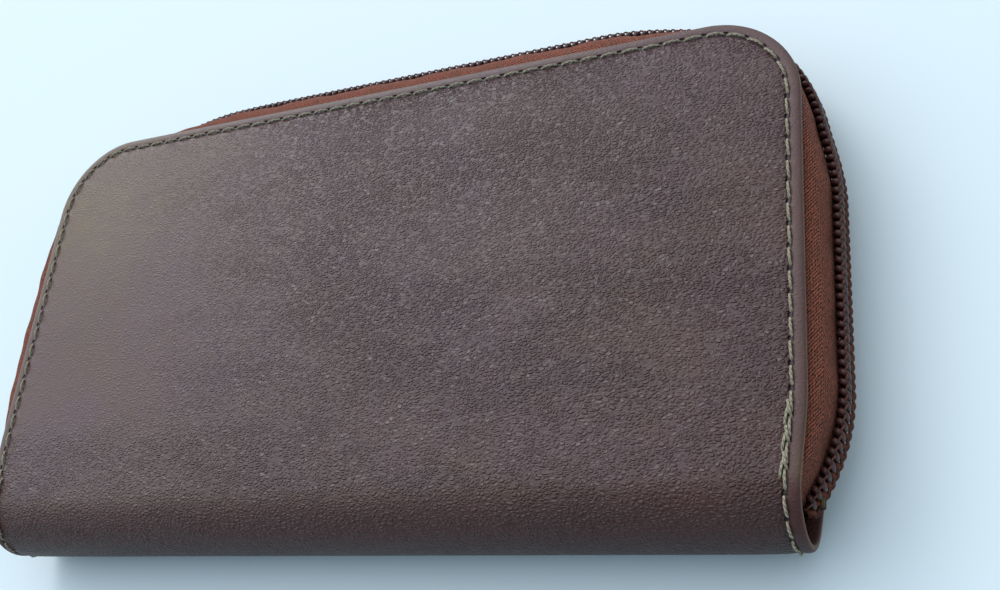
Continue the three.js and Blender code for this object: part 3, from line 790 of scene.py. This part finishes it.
def zip_tape(side):
    """One half of the tape, from under the leather's edge to the chain, a little rippled."""
    soup = Soup()
    s = np.arange(2.0, ROUTE.length - 2.0, 1.5)
    edge, normal, bulge = ROUTE.at(s)[2:]
    outer, inner, spans = [], [], []
    for k, (point, out, b) in enumerate(zip(edge, normal, bulge)):
        slack = smooth(point[1], -40, -8) * (1 - smooth(point[1], 40, FAR_Y - 1))
        profile = tape_profile(b, LEFT_SLACK * slack * (point[0] < 0), side)
        length = run_length(profile)
        middle = np.sin(math.pi * np.clip((length - 7) / (length[-1] - 7), 0, 1))
        ripple = 0.16 * math.sin(s[k] / 3.1) + 0.10 * math.sin(s[k] / 1.27 + 1.0)
        across = -side * normals(profile)
        profile = profile + across * (ripple * middle)[:, None]
        for faces, shift in ((outer, 0.0), (inner, -TAPE_THICKNESS)):
            line = profile + across * shift
            faces.append(np.column_stack([point + line[:, :1] * out, MID + line[:, 1]]))
        spans.append(length)
    ring = [np.concatenate([a, b[::-1]]) for a, b in zip(outer, inner)]
    span = np.array([np.concatenate([a, a[::-1]]) for a in spans])
    grain = np.stack([np.broadcast_to(s[:, None], span.shape), span], -1) / 10
    soup.add(ring, capped_faces(*span.shape), grain=grain)
    label = SIDE_NAMES[side]
    ride(soup, f"{label}_zip_tape_twill", TAPE, COVER_BODY[side], "zip_tape", f"{label}_zip_tape",
         smooth_angle=60, merge=False)


def coil_path(length, pitch, phase, root, head, depth, steps=14):
    """A flattened helix: legs run from the root to the interlocking heads and back. Returns
    distance along, out and up, and how near each point is to a head."""
    turns = int(length / pitch)
    angle = np.arange(turns * steps + 1) * 2 * math.pi / steps
    along = pitch * (angle / (2 * math.pi) + phase)
    reach = np.cos(angle)
    up = (root + head) / 2 - (root - head) / 2 * power(reach, 0.8)
    return along, depth * power(np.sin(angle), 0.6), up, smooth(reach, 0.3, 1.0)


def coil_half(side, start, stop):
    """One half of the main chain and the thread that binds it. The halves mesh in turn."""
    along, out, up, headness = coil_path(stop - start, COIL_PITCH, 0.5 if side == FRONT else 0.0,
                                         root=2.70, head=-0.42, depth=0.50)
    soup = Soup()
    path = chain_points(start + along, out, side * up)
    add_tube(soup, path, 0.60 - 0.15 * headness, 9)
    label = SIDE_NAMES[side]
    ride(soup, f"{label}_zip_coil_spiral", COILS[side], COVER_BODY[side], "zip_coil",
         f"{label}_zip_coil", smooth_angle=80, merge=False)
    # The thread that sews the coil to its tape dips between the teeth.
    binding = Soup()
    lines = ((2.85, 0.70, 0.20),) if side == FRONT else ((2.45, 1.04, 0.30), (1.60, 1.02, 0.24))
    s = np.arange(start, stop, COIL_PITCH / 8)
    turn = 2 * math.pi * (s - start) / COIL_PITCH
    for level, rise, radius in lines:
        dip = rise - 0.26 * (0.5 + 0.5 * np.cos(turn))
        path = chain_points(s, dip, side * (level + 0.22 * np.sin(turn)))
        add_tube(binding, path, radius, 6, uv=(start, stop * 3))
    ride(binding, f"{label}_coil_binding", RUST_THREAD, COVER_BODY[side], "sewing_thread",
         smooth_angle=80, merge=False)


# ---- Small rigid shapes ----


def soft_block(soup, low, high, axis, waist=0.0, steps=17, sides=28):
    """A rounded block along one axis, drawn in at its middle by waist."""
    low, high = np.array(low, float), np.array(high, float)
    centre, half = (low + high) / 2, (high - low) / 2
    u = np.sin(np.linspace(-math.pi / 2, math.pi / 2, steps))
    angle = np.linspace(0, 2 * math.pi, sides, endpoint=False)
    size = np.maximum(1 - np.abs(u) ** 8, 1e-4) ** 0.25 * (1 - waist * np.cos(math.pi * u / 2) ** 2)
    others = [i for i in range(3) if i != axis]
    points = np.zeros((steps, sides, 3))
    points[..., axis] = u[:, None] * half[axis]
    for i, wave in zip(others, (np.cos(angle), np.sin(angle))):
        points[..., i] = size[:, None] * power(wave, 0.45)[None] * half[i]
    soup.add(points + centre, capped_faces(steps, sides))


def slab(soup, outline, y0, y1, bevel, panel=None):
    """A plate from an outline in X and Z, as thick as y0 to y1, with rounded rims. panel is
    (border, depth) of a shallow recess in both faces."""
    work = bmesh.new()
    ring = [work.verts.new((x, y0, z)) for x, z in outline]
    face = work.faces.new(ring)
    grown = bmesh.ops.extrude_face_region(work, geom=[face])["geom"]
    top = [e for e in grown if isinstance(e, bmesh.types.BMVert)]
    bmesh.ops.translate(work, verts=top, vec=(0, y1 - y0, 0))
    bmesh.ops.recalc_face_normals(work, faces=work.faces)
    rims = [e for e in work.edges if abs(e.verts[0].co.y - e.verts[1].co.y) < 1e-6]
    bmesh.ops.bevel(work, geom=rims, offset=bevel, segments=3, profile=0.5, affect="EDGES")
    if panel:
        flats = [f for f in work.faces if abs(f.normal.y) > 0.99 and len(f.verts) > 8]
        border, depth = panel
        bmesh.ops.inset_individual(work, faces=flats, thickness=border)
        bmesh.ops.inset_individual(work, faces=flats, thickness=0.15, depth=-depth)
    work.verts.index_update()
    points = np.array([v.co for v in work.verts])
    soup.add(points, [tuple(v.index for v in f.verts) for f in work.faces])
    work.free()


def rounded_outline(end, half):
    """A rounded plate outline, a little narrower towards +X."""
    angle = np.linspace(0, 2 * math.pi, 40, endpoint=False)
    c, w = power(np.cos(angle), 0.45), power(np.sin(angle), 0.45)
    return list(zip(end * c, half * w * (1 - 0.08 * (c + 1))))


def clip(node, body, axis, material=BRASS):
    """A crimped metal stop that stands for a CAD node."""
    low, high = node_box(node)
    soup = Soup()
    soft_block(soup, low, high, axis, 0.12)
    third = (high[axis] - low[axis]) / 3
    for k in (0, 2):  # two raised bands where the clip is crimped
        band_low, band_high = low - 0.08, high + 0.08
        band_low[axis] = low[axis] + third * k + 0.1
        band_high[axis] = band_low[axis] + third - 0.2
        soft_block(soup, band_low, band_high, axis, 0.05)
    ride(soup, f"{node}_clip", material, body, "antique_brass", node, merge=False)


# ---- Sliders ----

# Sizes in a slider's own axes: X along its travel, Y outwards and Z across the chain.
MAIN_SLIDER = {
    "half_length": 4.5, "inner_plate": (-2.8, -2.0), "inner_half": 3.2,
    "outer_plate": (1.2, 2.0), "outer_half": 3.8, "post": (-4.2, -1.0), "post_half": 0.5,
    "lip": (-0.2, -3.8, -3.0), "pin": 2.9, "pin_radius": 0.6,
    "arch_top": (3.8, 4.6), "arch_leg": 3.0, "arch_half": 0.8,
    "tab_end": 24.0, "hole_end": 4.1, "tab_thick": 0.5, "tab_half": 2.6, "hole_half": 1.2,
}
COIN_SLIDER = {
    "half_length": 3.4, "inner_plate": (-2.2, -1.6), "inner_half": 1.2,
    "outer_plate": (0.9, 1.5), "outer_half": 2.5, "post": (-3.2, -0.8), "post_half": 0.33,
    "lip": None, "pin": 2.2, "pin_radius": 0.4,
    "arch_top": (2.9, 3.5), "arch_leg": 2.1, "arch_half": 0.6,
    "tab_end": 10.5, "hole_end": 3.0, "tab_thick": 0.35, "tab_half": 1.9, "hole_half": 1.0,
}


def slider(name, size, turn):
    """Two plates joined by the wedge post, with the bridge that holds the pull."""
    soup = Soup(turn)
    end, post_half, leg = size["half_length"], size["post_half"], size["arch_leg"]
    under, top = size["outer_plate"]
    for plate, half in (("inner_plate", "inner_half"), ("outer_plate", "outer_half")):
        slab(soup, rounded_outline(end, size[half]), *size[plate], 0.22)
    low, high = size["post"]
    soft_block(soup, (low, size["inner_plate"][1] - 0.1, -post_half),
               (high, under + 0.1, post_half), 1, -0.1)
    if size["lip"]:
        inner, low, high = size["lip"]
        soft_block(soup, (0.3 - end, inner, low), (end - 0.5, top, high), 0)
    # The bridge is a flat bow over the pull's bar, with a foot at each end.
    middle = sum(size["arch_top"]) / 2
    thick = (size["arch_top"][1] - size["arch_top"][0]) / 2
    t = np.linspace(0, math.pi, 33)
    rise = (middle - top + 0.15) * power(np.sin(t), 0.5)
    path = np.column_stack([-leg * power(np.cos(t), 0.55), top - 0.15 + rise, 0 * t])
    add_tube(soup, path, thick, 14, flatten=size["arch_half"] / thick)
    foot = size["arch_half"] + 0.35
    for x in (-leg, leg):
        soft_block(soup, (x - 0.75, top - 0.2, -foot), (x + 0.75, top + 0.28, foot), 1)
    ride(soup, f"{name}_body", BRASS, name, "antique_brass", name, smooth_angle=45, merge=False)


def pull_tab(name, body, size, turn):
    """A ring end round the bar, a waisted neck, and a panelled tab with a rounded end."""
    soup = Soup(turn)
    thick, half, end = size["tab_thick"], size["tab_half"], size["tab_end"]
    arm = (half + size["hole_half"]) / 2
    width = (half - size["hole_half"]) / 2
    eye = 1.24 * thick
    pin = size["pin"]
    bar = [(0, pin, z) for z in np.linspace(0.05 - half, half - 0.05, 9)]
    add_tube(soup, bar, size["pin_radius"] * 0.92, 16, up=(0, -1, 0))
    x = np.linspace(0, size["hole_end"] + 1.2, 13)
    for hand in (-1, 1):
        z = hand * (arm - 0.25 * np.sin(math.pi * x / x[-1]))
        path = np.column_stack([x, 0 * x + pin, z])
        add_tube(soup, path, thick * 0.95, 12, flatten=width / thick)
        soft_block(soup, (-0.9, pin - eye, hand * arm - width),
                   (0.9, pin + eye, hand * arm + width), 2)
    round_start = end - half * 0.75
    angle = np.linspace(-math.pi / 2, math.pi / 2, 15)
    outline = [(round_start + half * 0.75 * math.cos(a), half * math.sin(a)) for a in angle]
    edge = []
    for t in np.linspace(0, 1, 12)[1:]:  # one edge, in at the neck
        x = round_start + (size["hole_end"] - round_start) * t
        edge.append((x, half * (1 - 0.20 * math.sin(math.pi * t ** 2.2))))
    outline += edge + [(x, -z) for x, z in reversed(edge)]
    slab(soup, outline, pin - thick, pin + thick, 0.16, panel=(half * 0.22, thick * 0.3))
    ride(soup, f"{name}_piece", BRASS, body, "antique_brass", name, smooth_angle=40, merge=False)


def sliders():
    main_x = -HALF_LENGTH - ZIP_SIDE_BULGE
    page_place = (sum(node_box("coin_slider"))[0] / 2, sum(node_box("coin_zip_coil_back"))[1] / 2,
                  MID)

    def at_left_side(points):
        """Turned a quarter: local X runs along +Y and local Y out to -X."""
        x, y, z = points.T
        return np.column_stack([main_x - y, SLIDER_Y + x, MID + z])

    def on_page(points):
        return points + page_place

    slider("zip_slider", MAIN_SLIDER, at_left_side)
    pull_tab("zip_pull_tab", "zip_pull", MAIN_SLIDER, at_left_side)
    slider("coin_slider", COIN_SLIDER, on_page)
    pull_tab("coin_pull_tab", "coin_pull", COIN_SLIDER, on_page)


# ---- Pockets, page and gussets ----


def sheet_shell(soup, x, y, outer, inner, side):
    """A thin shell over a grid, between two heights from the middle, closed all round."""
    rows, cols = x.shape
    points = [np.stack([x, y, MID + side * level], -1) for level in (outer, inner)]
    grain = [np.stack([x / 10, y / 10], -1)] * 2
    faces = grid_faces(rows, cols)
    size = rows * cols
    faces += [tuple(i + size for i in reversed(f)) for f in grid_faces(rows, cols)]
    rim = [j for j in range(cols)] + [i * cols + cols - 1 for i in range(1, rows)]
    rim += [(rows - 1) * cols + j for j in range(cols - 2, -1, -1)]
    rim += [i * cols for i in range(rows - 2, 0, -1)]
    for a, b in zip(rim, rim[1:] + rim[:1]):
        faces.append((a, b, b + size, a + size))
    soup.add(points, faces, grain=grain)


def seam_stitches(soup, path, pitch, side, lift):
    """Small straight stitches along a path of (x, y, height from the middle)."""
    path = np.asarray(path, float)
    s = run_length(path[:, :2])
    for start in np.arange(0.4, s[-1] - pitch, pitch):
        t = np.linspace(0, 1, 6)
        spots = start + (pitch - 0.7) * t
        x, y, h = (np.interp(spots, s, path[:, k]) for k in range(3))
        h = h - lift + (SEAM_RADIUS + lift) * np.sin(math.pi * t) ** 0.5
        points = np.column_stack([x, y, MID + side * h])
        add_tube(soup, points, SEAM_RADIUS, 5, uv=(start, start + pitch), up=(0.3, 0.2, side))


def from_middle(node):
    """A node's distances from the case's middle height, the nearer face first."""
    return sorted(abs(corner[2] - MID) for corner in node_box(node))


def pockets(side):
    """Three stepped card pockets in each column; each has a folded mouth with a stitched hem."""
    label, body = SIDE_NAMES[side], COVER_BODY[side]
    thread = Soup()
    for hand, mirror in HANDS.items():
        for index in (1, 2, 3):
            node = f"{label}_card_pocket_{hand}_{index}"
            low, high = node_box(node)
            inner, outer = from_middle(node)  # inner is the face that shows when open
            xs = np.linspace(low[0], high[0], 61)
            below_mouth = np.array([POCKET_HEM + 0.6, POCKET_HEM + 0.2, POCKET_HEM,
                                    POCKET_HEM - 0.3, 2.2, 1.9, 1.6, 1.0, 0.5, 0.2, 0.0])
            ys = np.concatenate([np.linspace(low[1], high[1] - POCKET_HEM - 2, 24),
                                 high[1] - below_mouth])
            x, y = np.meshgrid(xs, ys)
            from_mouth = high[1] - y
            from_side = np.minimum(x - low[0], high[0] - x)
            folded = (1 - smooth(from_mouth, POCKET_HEM - 0.35, POCKET_HEM)) * 0.10
            valley = 0.07 * np.exp(-((from_mouth - POCKET_STITCH_INSET) / 0.35) ** 2)
            rounding = 0.12 * (1 - smooth(from_mouth, 0, 0.5))
            rounding = rounding + 0.10 * (1 - smooth(from_side, 0, 0.6))
            bow = 0.05 * np.sin(x / 9 + index) * np.sin(y / 13 + 2 * index)
            face = inner - folded + valley + rounding - np.abs(bow)
            soup = Soup()
            sheet_shell(soup, x, y, outer + 0 * x, face, side)
            ride(soup, f"{node}_leather", POCKET_LEATHER, body, "pocket_leather", node)
            seam_y = high[1] - POCKET_STITCH_INSET
            line = [(x, seam_y, inner - 0.05) for x in np.linspace(low[0] + 1, high[0] - 1, 30)]
            seam_stitches(thread, line, 2.6, side, lift=-0.10)
        edge = high[0] - 1.4 if mirror > 0 else low[0] + 1.4
        line = [(edge, y, inner - 0.05) for y in np.linspace(low[1] + 1, high[1] - 3, 20)]
        seam_stitches(thread, line, 2.6, side, lift=-0.10)
    ride(thread, f"{label}_pocket_stitches", DARK_THREAD, body, "sewing_thread", merge=False)


def page_outline(inset):
    """The page's border from its far left corner round the near side to the far right one."""
    low, high = node_box("coin_page_wall_front")
    half, near, far = high[0] - inset, low[1] + inset, high[1]
    radius = PAGE_CORNER_RADIUS - inset
    points = [(-half, y) for y in np.linspace(far, near + radius, 30)]
    for centre, start in ((-half + radius, math.pi), (half - radius, 1.5 * math.pi)):
        points += [(centre + radius * math.cos(a), near + radius + radius * math.sin(a))
                   for a in start + np.linspace(0, math.pi / 2, 10)[1:]]
        if centre < 0:
            points += [(x, near) for x in np.linspace(centre, -centre, 60)[1:-1]]
    points += [(half, y) for y in np.linspace(near + radius, far, 30)]
    return np.array(points)


def page_wall(side):
    """One cloth wall of the coin page, slightly puckered along its seams."""
    node = f"coin_page_wall_{SIDE_NAMES[side]}"
    low, high = node_box(node)
    inner, outer = from_middle(node)
    radius = PAGE_CORNER_RADIUS
    rise = radius * (1 - np.cos(np.linspace(0, math.pi / 2, 9)))
    ys = low[1] + np.concatenate([rise, np.linspace(radius, high[1] - low[1], 26)[1:]])
    below = radius - np.minimum(ys - low[1], radius)
    half = (high[0] - radius + np.sqrt(radius ** 2 - below ** 2))[:, None]
    x = np.linspace(-1, 1, 100)[None] * half
    y = np.repeat(ys[:, None], 100, 1)
    depth = np.minimum(half - np.abs(x), y - low[1])
    pucker = 0.10 * np.sin((x + y) * 0.9) * np.exp(-depth / 4) * smooth(depth, 0, 1.5)
    bulge = pucker + 0.09 * np.sin(x / 11 + 1) * np.sin(y / 8 + 0.4) * smooth(depth, 1, 8)
    soup = Soup()
    sheet_shell(soup, x, y, outer + np.minimum(bulge, 0.18), inner + bulge, side)
    piece = ride(soup, f"{node}_cloth", LINING, "coin_page", "lining_fabric", node,
                 smooth_angle=60)
    return outer


def page_binding(outer):
    """A binding strip folded over the page's three closed edges, and its stitches."""
    soup = Soup()
    path = page_outline(0.15)
    flat = np.column_stack([path, np.full(len(path), MID)])
    rings = tube_rings(flat, 0.55, 20, flatten=(outer + 0.12) / 0.55)
    grain = np.stack(np.meshgrid(np.linspace(0, 0.5, 20), run_length(path) / 10), -1)
    soup.add(rings, capped_faces(len(rings), 20), grain=grain)
    ride(soup, "coin_page_binding", POCKET_LEATHER, "coin_page", "pocket_leather", merge=False)
    thread = Soup()
    line = page_outline(PAGE_STITCH_INSET)
    line = np.column_stack([line, np.full(len(line), outer)])
    for side in (FRONT, BACK):
        seam_stitches(thread, line, 2.8, side, lift=0.02)
    ride(thread, "coin_page_stitches", DARK_THREAD, "coin_page", "sewing_thread", merge=False)


def page_zip(side):
    """The coin page's tape, turned up behind its coil, and the coil itself."""
    node = f"coin_zip_tape_{SIDE_NAMES[side]}"
    low, high = node_box(node)
    lip, top = from_middle(node)
    near, far = low[1], high[1]
    bend = 0.7
    profile = [(y, top) for y in np.linspace(near, far - bend, 14)]
    profile += [(far - bend + bend * math.sin(a), top - bend + bend * math.cos(a))
                for a in np.linspace(0.2, math.pi / 2, 6)]
    profile = np.array(profile + [(far, lip)])
    xs = np.linspace(low[0], high[0], 150)
    ring = np.concatenate([profile, (profile + 0.32 * normals(profile))[::-1]])
    span = run_length(profile)
    span = np.concatenate([span, span[::-1]])
    ripple = 0.05 * np.sin(xs / 2.3)[:, None] * (ring[:, 0] > near + 1)[None]
    points = np.stack([np.repeat(xs[:, None], len(ring), 1), 0 * ripple + ring[:, 0],
                       MID + side * (ring[:, 1] - np.abs(ripple))], -1)
    grain = np.stack(np.meshgrid(span / 10, xs / 10)[::-1], -1)
    soup = Soup()
    soup.add(points, capped_faces(len(xs), len(ring)), grain=grain)
    ride(soup, f"{node}_twill", TAPE, "coin_page", "zip_tape", node, merge=False)
    node = f"coin_zip_coil_{SIDE_NAMES[side]}"
    low, high = node_box(node)
    along, out, up, headness = coil_path(high[0] - low[0], 1.45, 0.5 if side == FRONT else 0.0,
                                         root=1.42, head=-0.22, depth=0.26, steps=12)
    path = np.column_stack([low[0] + along, (low[1] + high[1]) / 2 + out, MID + side * up])
    soup = Soup()
    add_tube(soup, path, 0.38 - 0.08 * headness, 7)
    ride(soup, f"{node}_spiral", COILS[FRONT], "coin_page", "zip_coil", node, smooth_angle=80,
         merge=False)


def gusset(side, hand):
    """A bellows between a cover and the page."""
    label = SIDE_NAMES[side]
    node = f"{label}_gusset_{hand}"
    low, high = node_box(node)
    mirror = HANDS[hand]
    fold_x, outer_x = sorted((abs(low[0]), abs(high[0])))
    cover_z = high[2] if side == FRONT else low[2]
    # The CAD gusset stops short of the page; the cloth is sewn in under the page's binding.
    page_node = f"coin_page_wall_{label}"
    page_x = node_box(page_node)[1][0] - 0.4
    page_z = MID + side * (from_middle(page_node)[1] - 0.15)
    # The cloth folds in from the cover, out again, and in to the page's edge. It needs both
    # folds: a single one doesn't hold enough cloth for the covers to open.
    t = np.linspace(0, 1, 61)
    x = np.interp(t, (0, 0.40, 0.75, 1), (outer_x, fold_x + 0.3, outer_x - 2.0, page_x))
    for _ in range(2):  # rounds the folds
        x[1:-1] = (x[:-2] + 2 * x[1:-1] + x[2:]) / 4
    z = cover_z + (page_z - cover_z) * t
    path = np.column_stack([x, z])
    normal = normals(path)
    length = run_length(path)
    ys = np.linspace(low[1], high[1], 47)
    wave = 0.12 * np.sin(ys / 4.1 + mirror)[:, None] * np.sin(math.pi * t)[None]
    hemmed = smooth(ys, high[1] - 3.0, high[1] - 2.6)
    hemmed = hemmed + (1 - smooth(ys, low[1] + 2.6, low[1] + 3.0))
    half_thickness = 0.15 + 0.08 * hemmed
    shells = []
    for face in (1, -1):
        px = x + normal[:, 0] * face * half_thickness[:, None] + wave
        pz = z + normal[:, 1] * face * half_thickness[:, None]
        pz = np.clip(pz, min(cover_z, page_z), max(cover_z, page_z))
        shells.append(np.stack([mirror * px, 0 * px + ys[:, None], pz], -1)[:, ::face])
    span = np.concatenate([length, length[::-1]])
    grain = np.stack(np.meshgrid(span / 10, ys / 10), -1)
    soup = Soup()
    soup.add(np.concatenate(shells, 1), capped_faces(len(ys), len(span)), grain=grain)
    piece = soup.build(f"{node}_cloth", LINING, smooth_angle=50, merge=False)
    middle_x = mirror * (outer_x + fold_x) / 2
    join_to_page(piece, side, (middle_x, 0, page_z), (middle_x, 0, cover_z),
                 node)


def boards():
    """The CAD boards are kept and only get their finish."""
    for label in SIDE_NAMES.values():
        board = bpy.data.objects[f"{label}_stiffener_board"]
        for slot in board.material_slots:
            slot.material = BOARD


# ---- Floor, light and camera ----


def floor():
    """A plain pale floor, a little under the case so that their faces don't meet."""
    bpy.ops.mesh.primitive_plane_add(size=12.0, location=(0, 0, -0.0006))
    plane = bpy.context.object
    plane.name = "floor"
    g = Graph("pale_floor", base_color=rgb(0.64, 0.715, 0.725), roughness=0.95,
              specular_ior_level=0.1)
    plane.data.materials.append(g.material)


def area_light(name, location, target, size, power, color):
    data = bpy.data.lights.new(name, "AREA")
    data.shape = "RECTANGLE"
    data.size, data.size_y = size
    data.energy = power
    data.color = color
    lamp = bpy.data.objects.new(name, data)
    lamp.location = location
    lamp.rotation_euler = (Vector(target) - Vector(location)).to_track_quat("-Z", "Y").to_euler()
    bpy.context.scene.collection.objects.link(lamp)


def lights():
    """A sky that is bright behind the case and to its left, and dim low on the near side."""
    world = bpy.data.worlds.new("sky")
    world.use_nodes = True
    g = Nodes(world.node_tree)
    direction = g.node("TexCoord", output="Generated")
    window = Vector((-0.60, 0.65, 0.45)).normalized()
    facing = g.node("VectorMath", {0: direction, 1: window}, "Value", operation="DOT_PRODUCT")
    glow = g.math("POWER", g.ramp(facing, -0.20, 1.15), 1.5) * 2.15
    height = g.ramp(g.split(direction)[2], 0.10, 1.0)
    back = g.tree.nodes["Background"]
    tint = g.mix(g.ramp(glow, 0.0, 1.2), rgb(0.70, 0.99, 1.25), rgb(0.93, 0.985, 1.07))
    g.feed(back.inputs["Color"], tint)
    g.feed(back.inputs["Strength"], glow + height * 0.42 + 0.14)
    bpy.context.scene.world = world
    area_light("window", (-0.60, 0.85, 0.75), (0, 0, 0), (0.5, 0.4), 4, (0.95, 0.98, 1.0))
    area_light("room", (0.9, 0.2, 0.7), (0, 0, 0), (0.8, 0.8), 1.5, (1.0, 0.95, 0.88))


CAMERA_AT = (132.8, -96.0, 211.8)
CAMERA_FORWARD = Vector((-0.4190, 0.3968, -0.8167))
CAMERA_UP = Vector((0.0976, 0.9140, 0.3939))
FOCAL_LENGTH = 41.33


def camera():
    """The view of the case from above its spine and to its right."""
    data = bpy.data.cameras.new("camera")
    data.sensor_width = 36
    data.lens = FOCAL_LENGTH
    data.clip_start = 0.01
    view = bpy.data.objects.new("camera", data)
    right = CAMERA_FORWARD.cross(CAMERA_UP).normalized()
    up = right.cross(CAMERA_FORWARD).normalized()
    turn = Matrix((right, up, -CAMERA_FORWARD.normalized())).transposed().to_4x4()
    view.matrix_world = Matrix.Translation(Vector(CAMERA_AT) * MM) @ turn
    bpy.context.scene.collection.objects.link(view)
    bpy.context.scene.camera = view


# ---- Build ----

camera()
floor()
lights()
bpy.context.scene.view_settings.view_transform = "Standard"

for cover in (FRONT, BACK):
    skin(cover)
    lining(cover)
    stitching(cover)
    zip_tape(cover)
    coil_half(cover, 1.0, ROUTE.find(CHAIN_END_Y, -1))
    pockets(cover)
    page_zip(cover)
    wall_face = page_wall(cover)
    clip(f"{SIDE_NAMES[cover]}_zip_top_stop", COVER_BODY[cover], axis=1)
    for side_hand in HANDS:
        gusset(cover, side_hand)
page_binding(wall_face)
for side_hand in HANDS:
    clip(f"coin_zip_stop_{side_hand}", "coin_page", axis=2)
# Painted shade: the end stop uses the darkened brass.
clip("zip_end_stop", "back_cover", 2, SHADED_BRASS)
sliders()
boards()
